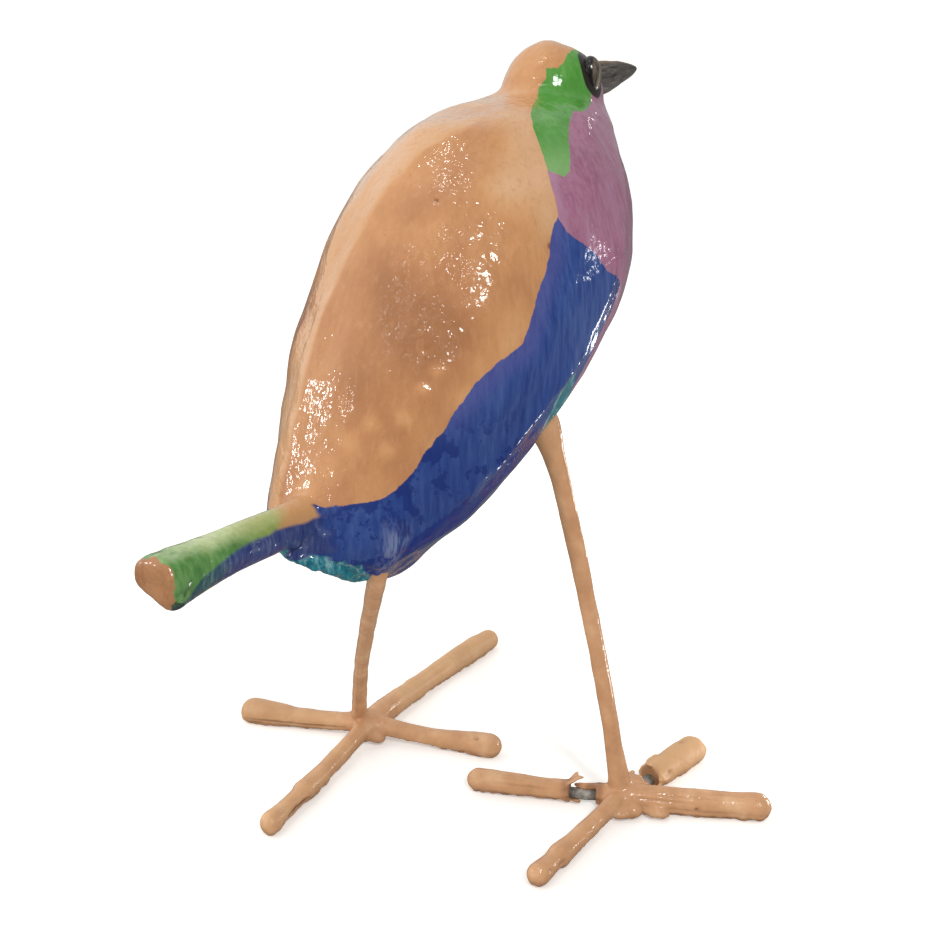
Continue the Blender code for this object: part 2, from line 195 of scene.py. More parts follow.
def facets_at(points, size, seed):
    """0 at the middle of hand-pressed facets and rising to the ridges between them."""
    moved = points / size + seed
    nearest = np.array([noise.voronoi(Vector(p))[0][0] for p in moved])
    return nearest**2


# Meshes.


def loft_mesh(rings):
    """A closed bmesh through rings of equally many points of the frame."""
    bm = bmesh.new()
    loops = [[bm.verts.new(point) for point in ring] for ring in rings]
    for lower, upper in zip(loops, loops[1:]):
        for this in range(len(lower)):
            after = (this + 1) % len(lower)
            bm.faces.new((lower[this], lower[after], upper[after], upper[this]))
    bm.faces.new(loops[0])
    bm.faces.new(loops[-1])
    bm.normal_update()
    bmesh.ops.recalc_face_normals(bm, faces=bm.faces)
    return bm


def swept(route, radii, sides=24, shape=None):
    """A closed tube along a route. Shape gives a factor for the radius from the turn and the distance."""
    route = np.asarray(route, float)
    heading = np.gradient(route, axis=0)
    heading /= np.linalg.norm(heading, axis=1)[:, None]
    side = np.cross(heading[0], (0.0, 0.0, 1.0))
    if np.linalg.norm(side) < 0.1:
        side = np.cross(heading[0], (1.0, 0.0, 0.0))
    rings = []
    travelled = 0.0
    for index, (place, ahead, radius) in enumerate(zip(route, heading, radii)):
        side = side - ahead * np.dot(side, ahead)
        side /= np.linalg.norm(side)
        upright = np.cross(side, ahead)
        if index:
            travelled += np.linalg.norm(place - route[index - 1])
        ring = []
        for step in range(sides):
            turn = 2 * math.pi * step / sides
            out = radius * (shape(turn, travelled) if shape else 1.0)
            ring.append(place + side * (out * math.cos(turn)) + upright * (out * math.sin(turn)))
        rings.append(to_frame(ring))
    return loft_mesh(rings)


def ball(sides, rings, moved):
    """A sphere whose points go where moved says, right, ahead and up."""
    bm = bmesh.new()
    bmesh.ops.create_uvsphere(bm, u_segments=sides, v_segments=rings, radius=1.0)
    for vertex in bm.verts:
        vertex.co = Vector(to_frame(moved(vertex.co)))
    bm.normal_update()
    bmesh.ops.recalc_face_normals(bm, faces=bm.faces)
    return bm


def lump(place, radii, rings=16):
    """An ellipsoid of paste. Radii are right, ahead and up."""
    return ball(2 * rings, rings, lambda point: np.asarray(place) + np.array(point) * radii)


def placed(name, data):
    """A new object in the scene."""
    made = bpy.data.objects.new(name, data)
    bpy.context.scene.collection.objects.link(made)
    return made


def mesh_piece(name, bm):
    mesh = bpy.data.meshes.new(name)
    bm.to_mesh(mesh)
    bm.free()
    return placed(name, mesh)


def fused(name, solids, voxel):
    """Closed meshes run together into one skin of even little faces."""
    whole = bmesh.new()
    for solid in solids:
        part = bpy.data.meshes.new("part")
        solid.to_mesh(part)
        solid.free()
        whole.from_mesh(part)
        bpy.data.meshes.remove(part)
    piece = mesh_piece(name, whole)
    mesh = piece.data
    remesh = piece.modifiers.new("even skin", "REMESH")
    remesh.mode = "VOXEL"
    remesh.voxel_size = voxel * MM
    remesh.adaptivity = 0.0
    graph = bpy.context.evaluated_depsgraph_get()
    skin = bpy.data.meshes.new_from_object(piece.evaluated_get(graph))
    piece.modifiers.remove(remesh)
    piece.data = skin
    bpy.data.meshes.remove(mesh)
    skin.name = name
    return piece


def points_of(piece):
    found = np.empty(len(piece.data.vertices) * 3)
    piece.data.vertices.foreach_get("co", found)
    return found.reshape(-1, 3)


def put_points(piece, points):
    piece.data.vertices.foreach_set("co", np.asarray(points, float).ravel())
    piece.data.update()


def places_of(piece):
    """The points of a piece, as right, ahead and up in millimetres."""
    return to_bird(points_of(piece))


def normals_of(piece):
    found = np.empty(len(piece.data.vertices) * 3)
    piece.data.vertex_normals.foreach_get("vector", found)
    return found.reshape(-1, 3)


def smoothed(piece, times, share=None):
    """Evens out the skin. Share says how much, from 0 to 1, at each point."""
    edges = np.empty(len(piece.data.edges) * 2, int)
    piece.data.edges.foreach_get("vertices", edges)
    a, b = edges.reshape(-1, 2).T
    points = points_of(piece)
    count = np.bincount(np.concatenate((a, b)), minlength=len(points))[:, None]
    strength = SMOOTHING if share is None else SMOOTHING * share[:, None]
    for _ in range(times):
        total = np.empty_like(points)
        for axis in range(3):
            weights = np.concatenate((points[b, axis], points[a, axis]))
            total[:, axis] = np.bincount(np.concatenate((a, b)), weights, len(points))
        points += (total / count - points) * strength
    put_points(piece, points)


def raise_skin(piece, heights):
    """Moves the skin out by so many millimetres."""
    put_points(piece, points_of(piece) + normals_of(piece) * heights[:, None] * MM)


def note(piece, name, values):
    """Keeps one number for each point of the piece, for its material to read."""
    attribute = piece.data.attributes.new(name, "FLOAT", "POINT")
    attribute.data.foreach_set("value", np.asarray(values, np.float32))


def keep_in_box(piece, node):
    """Holds the skin inside the box of the solid that it stands for."""
    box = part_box(node)
    put_points(piece, np.clip(points_of(piece), np.array(box[0]), np.array(box[1])))


def hand_over(piece, material, slot, *nodes):
    """Gives the piece its material and hangs it under the root, hiding the solids it stands for. The slot is
    not used.
    """
    piece.data.materials.clear()
    piece.data.materials.append(material)
    piece.data.shade_smooth()
    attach(piece, "root")
    if nodes:
        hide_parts(*nodes)


# The body.

TAIL_ROOT = (0.0, -49.9, 70.1)
TAIL_SIDES = 64
FLAP = ((0.5, -56.4, 65.4), (2.6, -53.2, 64.2), (5.0, -50.2, 62.6), (4.6, -46.4, 60.2), (4.4, -42.6, 58.0))


def pod_rings():
    for up, back, front, half_width in curve_through(SECTIONS, POD_STEPS) * BODY_HEIGHT:
        turn = np.linspace(0, 2 * math.pi, POD_SIDES, endpoint=False)
        middle, reach = (back + front) / 2, (front - back) / 2
        level = turn * 0 + POD_LIFT + up
        yield to_frame(np.stack((half_width * np.sin(turn), middle + reach * np.cos(turn), level), 1))


# The stalk's blunt end is a knob: its radius at turns of 22.5 degrees from the left over the top.
TAIL_KNOB = (1.06, 1.03, 0.97, 0.88, 0.84, 0.90, 0.98, 1.00, 0.97, 0.98, 1.06, 1.10, 0.88, 0.72, 0.80, 0.98)


def tail_shape(turn, travelled):
    """The stalk is not round: it has soft flats, and it ends in a knob with a lobe low on its right."""
    end = soft_step(25.0, 38.0, np.float64(travelled))
    flats = 0.035 * math.sin(3 * turn + travelled / 7.0) + 0.02 * math.sin(5 * turn - travelled / 4.0)
    place = turn / (2 * math.pi) * len(TAIL_KNOB)
    low = int(place) % len(TAIL_KNOB)
    mix = soft_step(0.0, 1.0, np.float64(place - int(place)))
    knob = TAIL_KNOB[low] * (1 - mix) + TAIL_KNOB[(low + 1) % len(TAIL_KNOB)] * mix
    return 1 + flats * (1 - end) + end * (knob - 1)


def tail():
    """The stalk, drawn from inside the pod to its blunt end."""
    profile = (
        (8.0, 4.3), (3.0, 4.1), (0.0, 3.75), (-6.0, 3.5), (-14.0, 3.48), (-20.0, 3.62), (-25.0, 3.95),
        (-29.5, 4.35), (-32.0, 4.45), (-33.2, 4.15), (-33.7, 3.4), (-33.8, 1.6),
    )
    rows = curve_through(profile, 5)
    x, y, z = TAIL_ROOT
    route = [(x, y + ahead, z) for ahead, _ in rows]
    return swept(route, rows[:, 1], TAIL_SIDES, tail_shape)


def body_solids():
    """The pod, the stalk, and the flap of paste torn ragged under the stalk."""
    flap = curve_through(FLAP, 6)
    girths = 1.5 * np.sin(np.linspace(0.5, 2.8, len(flap))) + 0.3
    return [loft_mesh(list(pod_rings())), tail(), swept(flap, girths)]


def uneven(points):
    """The hand-laid wander of the surface, the same as the solid's."""
    own = (points / MM - FRAME_SHIFT) * MM
    patch = UNEVEN_PATCH_SHARE * BODY_HEIGHT * MM
    return np.array([noise.noise(Vector(p) / patch) for p in own]) * UNEVEN_SHARE * BODY_HEIGHT


def body_relief(piece):
    """Facets, ridges, lumps, brush marks and torn paste in the skin, in millimetres."""
    place = places_of(piece)
    right, ahead, up = place.T
    along = ahead * 0.6 + up * 0.8
    across = np.stack((right, ahead * 0.8 - up * 0.6, along * 0.42), 1)
    on_tail = soft_step(-52, -57, ahead)
    on_pod = 1 - on_tail
    head = soft_step(128, 134, up) * on_pod
    facets = facets_at(across, 9.0, 11.0) * 0.62 + facets_at(across, 5.0, 2.0) * 0.16
    lumps = noise_at(place, 4.2, 3.0) * 0.12 + noise_at(across, 2.3, 7.0) * 0.075
    brushed = noise_at(across, 1.25, 5.0) * 0.035
    keel, _ = line_distance(place, KEEL)
    ridges = 0.42 * fading(keel, 2.6)
    near_leg, _ = line_distance(place, NEAR_LEG_RIDGE)
    ridges += 0.55 * fading(near_leg, 1.7)
    flank, _ = line_distance(mirror(place), FLANK)
    wrinkles = 0.34 * noise_at(across, 2.0, 13.0) + 0.14 * noise_at(place, 1.1, 8.0)
    above = np.where(outline_distance(BELLY, ahead, up) > 0, -flank, flank)
    on_side = soft_step(12, 16, np.abs(right)) * on_pod
    ridges += on_side * 0.95 * fading(above, np.where(above < 0, 1.5, 2.6))
    vent = soft_step(10.0, 5.0, np.hypot(np.hypot(right - 2, (ahead + 49.5) * 0.7), (up - 61.5) * 0.8))
    torn = np.abs(noise_at(place * (1, 1, 2.2), 2.4, 17.0)) * 0.9 - 0.25 + noise_at(place, 1.1, 23.0) * 0.30
    knob = soft_step(-78.5, -81.5, ahead)
    stalk = on_tail * (noise_at(place * (1, 0.35, 1), 2.0, 9.0) * 0.10 + noise_at(place, 1.2, 4.0) * 0.04)
    stalk += knob * (noise_at(place, 2.6, 27.0) * 0.40 - 0.08)
    skin = facets * (1 - 0.65 * head) + lumps + brushed + ridges + fading(flank, 3.4) * wrinkles
    return (uneven(points_of(piece)) + skin) * on_pod + stalk + vent * torn


PITS = (
    # right, ahead, up, radius, depth; below zero it is a bump
    (7.2, -25.3, 118.4, 0.8, 0.34), (6.7, -24.6, 119.1, 0.5, 0.22), (22.1, -14.1, 111.1, 1.2, 0.42),
    (22.9, -12.6, 110.2, 0.8, 0.35), (23.1, -12.2, 108.4, 0.7, 0.22), (-8.9, -5.0, 129.9, 0.6, 0.22),
    (-10.9, -7.9, 128.4, 0.7, 0.22), (12.9, -36.1, 96.3, 0.8, 0.22), (14.0, -38.0, 91.0, 0.9, -0.10),
    (14.4, -37.2, 91.9, 0.9, 0.16), (15.1, -35.9, 93.4, 1.3, -0.15), (17.9, -25.5, 104.5, 7.5, -0.60),
    (8.1, -43.9, 85.3, 1.6, -0.20), (12.5, -41.0, 86.2, 1.5, -0.22), (11.1, -43.7, 81.3, 1.6, -0.20),
    (5.3, -46.2, 82.0, 1.9, -0.18), (3.5, -48.6, 78.1, 1.8, -0.20), (16.6, -37.7, 83.0, 1.1, 0.30),
    (15.2, -39.6, 80.8, 1.1, 0.28), (14.2, -42.0, 77.4, 1.0, 0.28), (4.7, -52.4, 69.8, 1.2, 0.32),
    (7.7, -51.5, 68.3, 1.2, 0.28), (8.9, -51.0, 66.7, 0.8, 0.24), (8.0, -42.2, 60.2, 0.8, 0.45),
    (16.6, -34.9, 67.6, 1.2, 0.30), (15.9, -36.4, 66.2, 0.8, 0.26),
)


def body():
    piece = fused("painted_body", body_solids(), POD_VOXEL)
    smoothed(piece, 3)
    right, ahead, up = places_of(piece).T
    smoothed(piece, 30, fading(ahead - 8, 5) * soft_step(126, 129, up) * soft_step(137, 134, up))
    heights = body_relief(piece)
    place = places_of(piece)
    for *centre, radius, depth in PITS:
        heights -= depth * fading(distance_to(centre, place), radius)
    raise_skin(piece, heights)
    smoothed(piece, 1, np.full(len(heights), 0.5))
    keep_in_box(piece, "body")
    mark_paint(piece)
    hand_over(piece, body_paint(), "painted_pod", "body")


TONES = (
    # right, ahead, up, radius, how much lighter; below zero browner.
    # Those more than 10 to the right are on the left too.
    (15.1, -17.3, 119.9, 4.0, 0.7), (13.3, -7.9, 126.3, 5.0, 0.6), (18.2, -10.7, 120.3, 4.5, 0.7),
    (21.0, -13.0, 115.1, 3.5, 0.6), (10.0, -5.4, 129.8, 4.0, 0.4), (-4.2, 2.8, 132.1, 4.0, 0.6),
    (-8.8, -5.3, 129.9, 5.0, 0.5), (21.9, -24.9, 96.5, 2.5, 0.3), (22.2, -22.5, 99.9, 2.5, 0.4),
    (19.1, -33.0, 88.7, 2.6, 0.6), (16.9, -37.7, 81.5, 2.6, 0.5), (19.6, -30.5, 93.6, 2.6, 0.3),
    (6.0, -14.4, 128.0, 4.0, -0.2), (7.7, -21.0, 122.2, 4.5, -0.3), (5.3, -25.9, 118.5, 4.0, -0.4),
    (20.8, -18.3, 110.1, 4.5, 0.25), (8.2, -36.5, 100.1, 6.0, -0.6), (15.0, -33.7, 97.3, 6.0, -0.6),
    (3.5, -35.0, 107.0, 5.0, -0.5), (20.5, -27.0, 98.5, 3.0, 0.15), (13.9, -40.3, 84.6, 3.5, 0.1),
    (9.4, -44.9, 80.8, 3.5, -0.1), (4.8, -42.7, 91.9, 4.0, -0.3), (12.9, -36.1, 96.3, 0.9, 0.3),
    (15.1, -35.9, 93.4, 1.2, 0.6), (14.0, -38.0, 91.0, 0.9, 0.6), (8.1, -43.9, 85.3, 1.4, 0.5),
    (12.5, -41.0, 86.2, 1.3, 0.6), (11.1, -43.7, 81.3, 1.5, 0.5), (5.3, -46.2, 82.0, 2.0, 0.5),
    (3.5, -48.6, 78.1, 2.0, 0.4), (-0.3, -51.6, 74.5, 2.2, 0.6),
)
PIT_SHADES = (
    # right, ahead, up, radius of the small dark marks painted in the tan, as painted shade: nearly all sit in
    # pits of PITS
    (7.2, -25.3, 118.4, 0.55), (6.7, -24.6, 119.0, 0.35), (22.1, -14.1, 111.1, 0.7),
    (22.9, -12.4, 110.3, 0.5), (-8.9, -5.0, 129.9, 0.4), (-10.9, -7.9, 128.4, 0.45),
    (13.1, -36.4, 95.4, 0.35), (14.4, -37.3, 91.6, 0.3), (-7.2, -49.4, 77.0, 0.5),
)


def mark_paint(piece):
    """How far each point lies inside each painted area, in millimetres, where the paint is worn, and where
    painted shade and a painted sheen go.
    """
    place = places_of(piece)
    right, ahead, up = place.T
    wide = np.abs(right)
    mirrored = mirror(place)
    edge = outline_distance((*TAN_EDGE, (-120.0, 73.2), (-120.0, 200.0), (24.0, 200.0)), ahead, up)
    edge += 3.5 * soft_step(-44, -50, ahead) * (right < -2)
    at, half_width, lowest = np.array(CROWN).T
    aside = np.where(right > 0, right, np.maximum(0, -right - np.interp(ahead, (14.5, 18.5), (5, 0))))
    crown = np.minimum(np.interp(ahead, at, half_width) - aside, up - np.interp(ahead, at, lowest))
    onto_head = soft_step(-10.0, -6.0, ahead)
    note(piece, "tan", edge * (1 - onto_head) + crown * onto_head)
    note(piece, "green", outline_distance(GREEN_EDGE, ahead, up))
    lilac = (*BLUE_TOP, (60.0, 84.0), (60.0, 200.0), (-13.0, 200.0))
    note(piece, "lilac", outline_distance(lilac, ahead, up))
    reach = np.interp(ahead, (-56, -53.5, -51.7, -49.6, -45.4, -41.4, -36, -30, -20, -12, -8, -4, 10),
                      (3.2, 5.6, 8.0, 9.8, 8.2, 4.8, 5.5, 9.0, 14.5, 19.3, 21.6, 23.0, 26.0))
    below = np.interp(ahead, (-56, -50, -40, -12, -8, 0, 12, 30),
                      (68.2, 67.2, 66.0, 80.0, 84.5, 87.0, 88.5, 90.0))
    below -= 2.6 * soft_step(-1.5, 1.5, right) * (ahead < -40)
    below += soft_step(-10, 5, ahead) * (1.5 * noise_at(place, 11.0, 21.0) - 0.8)
    teal = np.minimum(reach - wide, (below - up) * 0.8)
    by_leg, _ = line_distance(mirrored, ((23.2, -10.8, 86.4), (21.4, -10.6, 82.0), (19.4, -10.6, 78.0)))
    note(piece, "teal", np.maximum(teal, 3.0 - by_leg))
    note(piece, "socket", 4.3 - np.linalg.norm((mirrored - (8.0, 21.3, 136.7)) * (0.8, 1.15, 0.95), axis=1))
    near_leg, share = line_distance(place, NEAR_LEG_RIDGE)
    note(piece, "worn", np.clip(1 - near_leg / (1.2 + 2.6 * share), 0, 1) * soft_step(1.0, 0.8, share))
    # Painted shade: below the flank ridge, where the body turns under, the blue is marked to be painted
    # darker.
    flank, _ = line_distance(mirrored, FLANK)
    under = soft_step(0.5, 3.5, flank) * ((wide < 17) | (up < 80) | (ahead > 0))
    note(piece, "under", under * (outline_distance(BELLY, ahead, up) > 0))
    tone = np.zeros(len(place))
    for *centre, radius, amount in TONES:
        spots = mirrored if centre[0] > 10 else place
        tone += amount * fading(distance_to(centre, spots), radius)
    # Painted reflection: the tone is raised in a strip left of the keel, the sheen along the back's left
    # edge, with less of it above 96 mm.
    keel_right = np.interp(up, (76.3, 83.8, 91.5, 99.1, 108.6, 112.7, 120.3, 125.7, 128.7),
                           (-5.5, -6.4, -6.7, -7.0, -5.3, -3.4, -1.7, 1.2, 5.3))
    left_edge_sheen = soft_step(0.4, -1.2, right - keel_right) * soft_step(-16.5, -12.0, right)
    left_edge_sheen *= soft_step(-4.0, -14.0, ahead)
    note(piece, "tone", tone + (0.75 - 0.3 * soft_step(96, 112, up)) * left_edge_sheen)
    # Painted shade: the tan is darkened in and round the pits.
    grime = np.zeros(len(place))
    for *centre, radius in PIT_SHADES:
        grime = np.maximum(grime, fading(distance_to(centre, place), radius))
    note(piece, "grime", grime)
    # The tail: its end, and the line between its green top and its blue underside.
    level = np.interp(ahead, (-84, -81, -78, -74, -70, -66, -63, -61, -55, -50),
                      (66.0, 67.2, 69.8, 70.7, 71.5, 71.7, 71.5, 71.8, 71.0, 71.8))
    below_stalk = np.maximum(0, 66.2 - up) * (ahead > -60)
    note(piece, "tail", -52.6 - ahead - np.maximum(0, up - 74.0) * 2.0 - below_stalk * 2.0)
    note(piece, "tail_top", up - level)
    end = -82.7 - ahead + 1.3 * noise_at(place, 2.0, 31.0)
    note(piece, "tail_end", end + 0.25 * (up - 72.0).clip(-9, 0) * 0.1)
    note(piece, "along", ahead)


# Materials.


def srgb(red, green, blue):
    """A colour given from 0 to 255, as the shader wants it."""
    def linear(value):
        value /= 255
        return value / 12.92 if value <= 0.04045 else ((value + 0.055) / 1.055) ** 2.4

    return (linear(red), linear(green), linear(blue), 1.0)


class Signal:
    """A shader socket that takes part in sums, so that a material reads as a formula."""

    def __init__(self, paint, socket):
        self.paint = paint
        self.socket = socket

    def math(self, operation, *values):
        return self.paint.node("ShaderNodeMath", {"operation": operation}, dict(enumerate(values)))

    def __add__(self, other):
        return self.math("ADD", self, other)

    def __sub__(self, other):
        return self.math("SUBTRACT", self, other)

    def __rsub__(self, other):
        return self.math("SUBTRACT", other, self)

    def __mul__(self, other):
        return self.math("MULTIPLY", self, other)

    __radd__ = __add__

    def ramp(self, low, high, bottom=0.0, top=1.0):
        """A smooth step from bottom to top as this goes from low to high."""
        settings = {"interpolation_type": "SMOOTHSTEP"}
        values = {"Value": self, "From Min": low, "From Max": high, "To Min": bottom, "To Max": top}
        return self.paint.node("ShaderNodeMapRange", settings, values)


class Nodes:
    """The nodes of one tree."""

    def __init__(self, tree):
        self.tree = tree

    def node(self, kind, settings=None, values=None, output=0):
        """Adds a node: its settings first, then the values or links of its sockets."""
        made = self.tree.nodes.new(kind)
        for key, value in (settings or {}).items():
            if key == "stops":
                self.set_stops(made.color_ramp, value)
            else:
                setattr(made, key, value)
        for key, value in (values or {}).items():
            self.feed(made.inputs[key], value)
        return Signal(self, made.outputs[output])

    @staticmethod
    def set_stops(ramp, stops):
        while len(ramp.elements) < len(stops):
            ramp.elements.new(0.5)
        for element, (position, colour) in zip(ramp.elements, stops):
            element.position = position
            element.color = colour

    def feed(self, socket, value):
        if isinstance(value, Signal):
            self.tree.links.new(value.socket, socket)
        else:
            socket.default_value = value


class Paint(Nodes):
    """One material."""

    def __init__(self, name):
        self.material = bpy.data.materials.new(name)
        self.material.use_nodes = True
        super().__init__(self.material.node_tree)
        self.shader = self.tree.nodes["Principled BSDF"]

    def place(self):
        return self.node("ShaderNodeTexCoord", output="Object")

    def kept(self, name):
        """What a note on the mesh says."""
        return self.node("ShaderNodeAttribute", {"attribute_name": name}, output="Fac")

    def grain(self, vector, size, detail=2.0, roughness=0.5):
        """Noise from 0 to 1, with patches of that many millimetres."""
        values = {"Vector": vector, "Scale": 1 / (size * MM), "Detail": detail, "Roughness": roughness}
        return self.node("ShaderNodeTexNoise", {"noise_dimensions": "3D"}, values)

    def stretched(self, turn, scale):
        """Object coordinates turned about X and stretched, for strokes that run one way."""
        return self.node("ShaderNodeMapping", {"vector_type": "POINT"},
                         {"Vector": self.place(), "Rotation": (turn, 0.0, 0.0), "Scale": scale})

    def blend(self, share, under, over):
        settings = {"data_type": "RGBA", "blend_type": "MIX", "clamp_factor": True}
        return self.node("ShaderNodeMix", settings, {0: share, 6: under, 7: over}, output=2)

    def tinted(self, colour, *layers):
        """The colour under layers that are each a share and a plain colour from 0 to 255."""
        for share, *over in layers:
            colour = self.blend(share, colour, srgb(*over))
        return colour

    def shades(self, value, *stops):
        """Colours along a value. Each stop is a position and a colour from 0 to 255."""
        stops = [(position, srgb(*colour)) for position, *colour in stops]
        return self.node("ShaderNodeValToRGB", {"stops": stops}, {"Fac": value})

    def finish(self, **sockets):
        for name, value in sockets.items():
            self.feed(self.shader.inputs[name.replace("_", " ").title().replace("Ior", "IOR")], value)
        return self.material

    def bumped(self, *layers):
        """Stacked bumps, each a height from 0 to 1 and how many millimetres it stands for."""
        normal = None
        for height, depth in layers:
            values = {"Height": height, "Distance": depth * MM, "Strength": 1.0}
            if normal is not None:
                values["Normal"] = normal
            normal = self.node("ShaderNodeBump", None, values)
        return normal


BRUSH_TURN = math.radians(-36)  # the strokes run down the back and the flank


def body_paint():
    paint = Paint("painted pod")
    place = paint.place()
    stroke = paint.stretched(BRUSH_TURN, (1.0, 1.0, 0.16))
    strokes = paint.grain(stroke, 0.9, 3.0, 0.6)
    broad = paint.grain(place, 14.0)
    patches = paint.grain(stroke, 5.0, 3.0, 0.55)
    speck = paint.grain(place, 0.7)
    wobble = (paint.grain(place, 2.2, 3.0, 0.6) - 0.5) * 0.7
    height = paint.node("ShaderNodeSeparateXYZ", None, {"Vector": place}, output="Z") * (1 / MM)

    def area(name, soft=0.10):
        return (paint.kept(name) + wobble).ramp(-soft, soft)

    # Painted shade: the tan is made darker below 121 mm.
    # The noted tone carries the painted sheen of the strip left of the keel.
    tone = paint.kept("tone") + (broad - 0.5) * 0.9 + (patches - 0.5) * 0.5 - height.ramp(121.0, 106.0) * 0.24
    tan = paint.shades(tone * 0.5 + 0.5, (0.10, 166, 114, 76), (0.32, 188, 132, 89),
                       (0.50, 205, 149, 101), (0.66, 212, 162, 116), (0.92, 220, 176, 138))
    tan = paint.tinted(
        tan,
        (strokes.ramp(0.50, 0.75) * 0.22, 220, 166, 124),
        (strokes.ramp(0.50, 0.28) * 0.22, 172, 116, 76),
        (speck.ramp(0.72, 0.78) * 0.4, 150, 96, 62),
        # painted shade in the pits of the paste
        (paint.kept("grime").ramp(0.25, 0.7) * 0.75, 128, 78, 50),
    )
    # Painted sheen: lighter blue within a few millimetres of the tan, above 80 mm, streaked with the brush
    # strokes.
    sheen_beside_tan = paint.kept("tan").ramp(-4.5, -0.6) * height.ramp(80.0, 90.0)
    blue = paint.shades(patches * 0.4 + strokes * 0.6, (0.30, 30, 54, 122), (0.48, 50, 76, 142),
                        (0.62, 66, 92, 152), (0.78, 100, 116, 168))
    blue = paint.tinted(
        blue,
        # painted shade: the blue is darker towards the bottom, below 96 mm
        (height.ramp(96.0, 76.0) * 0.35, 24, 50, 114),
        (sheen_beside_tan * (strokes * 0.6 + 0.25), 92, 92, 156),
    )
    blotch = (paint.grain(place, 2.6, 3.0, 0.6) + paint.kept("tan").ramp(-7.0, 0.0) * 0.12).ramp(0.56, 0.62)
    blue = paint.tinted(
        blue,
        (blotch * height.ramp(88.0, 80.0) * 0.8, 22, 44, 112),
        # painted shade where the body turns under the flank ridge
        (paint.kept("under") * (1.0 - strokes * 0.4), 16, 40, 118),
        (paint.kept("worn") * (strokes.ramp(0.36, 0.62) * 0.85 + 0.06), 140, 150, 180),
    )
    lilac = paint.shades(patches * 0.45 + strokes * 0.55, (0.30, 144, 92, 120), (0.50, 168, 114, 140),
                         (0.66, 172, 128, 154), (0.80, 196, 156, 180))
    lilac = paint.tinted(lilac, (paint.kept("tan").ramp(-3.4, -0.8) * 0.5, 186, 144, 168))
    green = paint.shades(patches * 0.5 + strokes * 0.5, (0.32, 70, 142, 52), (0.55, 90, 156, 68),
                         (0.75, 122, 174, 96))
    green = paint.tinted(green, (height.ramp(129.0, 121.5) * 0.8, 136, 178, 116))
    teal = paint.shades(strokes * 0.6 + speck * 0.4, (0.30, 8, 76, 96), (0.50, 22, 120, 138),
                        (0.60, 52, 140, 146), (0.68, 150, 192, 184))
    colour = paint.blend(area("lilac"), blue, lilac)
    worn = paint.kept("teal").ramp(2.0, 0.2) * strokes.ramp(0.42, 0.62) * 0.6
    teal = paint.tinted(teal, (worn, 158, 194, 202))
    colour = paint.blend(area("teal", 0.3), colour, teal)
    colour = paint.blend(area("green"), colour, green)
    colour = paint.blend(area("tan"), colour, tan)
    colour = paint.tinted(colour, (paint.kept("socket").ramp(-0.1, 0.25), 40, 36, 30))

    along = paint.kept("along")
    top = paint.kept("tail_top") + wobble * 0.8
    tail_green = paint.shades(strokes * 0.5 + patches * 0.5, (0.30, 52, 100, 46), (0.48, 86, 138, 72),
                              (0.62, 116, 158, 96), (0.76, 156, 186, 130))
    lit = (height + wobble - (along * -1).ramp(72.0, 82.0) * 1.2).ramp(71.8, 74.0)
    tail_green = paint.tinted(
        tail_green,
        (lit * (0.55 + strokes * 0.5), 212, 222, 168),
        ((along + wobble * 8).ramp(-72.0, -62.0) * 0.55, 164, 166, 92),
        ((along + wobble * 3 - top * 1.1).ramp(-62.5, -58.5), 198, 148, 100),
    )
    tail_blue = paint.shades(strokes * 0.7 + patches * 0.3, (0.34, 36, 50, 112), (0.52, 62, 76, 126),
                             (0.66, 96, 106, 142), (0.76, 150, 156, 178))
    tail_teal = paint.shades(strokes * 0.6 + patches * 0.4, (0.34, 30, 56, 78), (0.52, 52, 92, 98),
                             (0.70, 104, 138, 130))
    tail_blue = paint.blend((along * -1 + wobble * 5).ramp(70.0, 77.0), tail_blue, tail_teal)
    tail = paint.blend(top.ramp(-0.35, 0.35), tail_blue, tail_green)
    smudge = paint.grain(place, 1.6) + (along * -1).ramp(79.5, 82.0) * 0.16
    smudge = smudge.ramp(0.60, 0.66) * (top * -1).ramp(-3.5, -0.5) * (along * -1).ramp(77.5, 80.5) * 0.8
    tail = paint.tinted(tail, (smudge, 34, 42, 52))
    face = paint.shades(patches * 0.6 + speck * 0.4, (0.35, 156, 106, 70), (0.6, 178, 128, 88))
    tail = paint.blend(area("tail_end"), tail, face)
    colour = paint.blend((paint.kept("tail") + wobble).ramp(-0.5, 0.5), colour, tail)

    wrinkles = paint.grain(paint.stretched(BRUSH_TURN, (1.0, 1.0, 0.8)), 2.3)
    dabbed = paint.kept("tan").ramp(-3.0, 2.0, 0.45, 1.0)
    fine = paint.grain(place, 0.9, 1.0)
    bump = paint.bumped((wrinkles * dabbed, 0.30), (fine * dabbed, 0.10), (strokes, 0.012))
    return paint.finish(base_color=colour, roughness=patches.ramp(0.3, 0.7, 0.07, 0.14), normal=bump,
                        specular_ior_level=0.36, coat_weight=0.1, coat_roughness=0.34)


def leg_paint():
    paint = Paint("leg paste")
    place = paint.place()
    patches = paint.grain(place, 5.0, 3.0, 0.55)
    speck = paint.grain(place, 0.6)
    dry = paint.kept("dry")
    colour = paint.shades(patches, (0.30, 200, 148, 108), (0.52, 214, 162, 120), (0.72, 228, 182, 140))
    colour = paint.tinted(
        colour,
        (dry * 0.6, 228, 184, 134),
        (speck.ramp(0.72, 0.78) * 0.5, 150, 104, 76),
        (paint.kept("crease"), 120, 78, 54),
    )
    bump = paint.bumped((paint.grain(place, 2.0), 0.20), (paint.grain(place, 0.8), 0.07))
    return paint.finish(base_color=colour, roughness=(dry * 0.36 + patches * 0.12 + 0.04), normal=bump,
                        specular_ior_level=0.36)


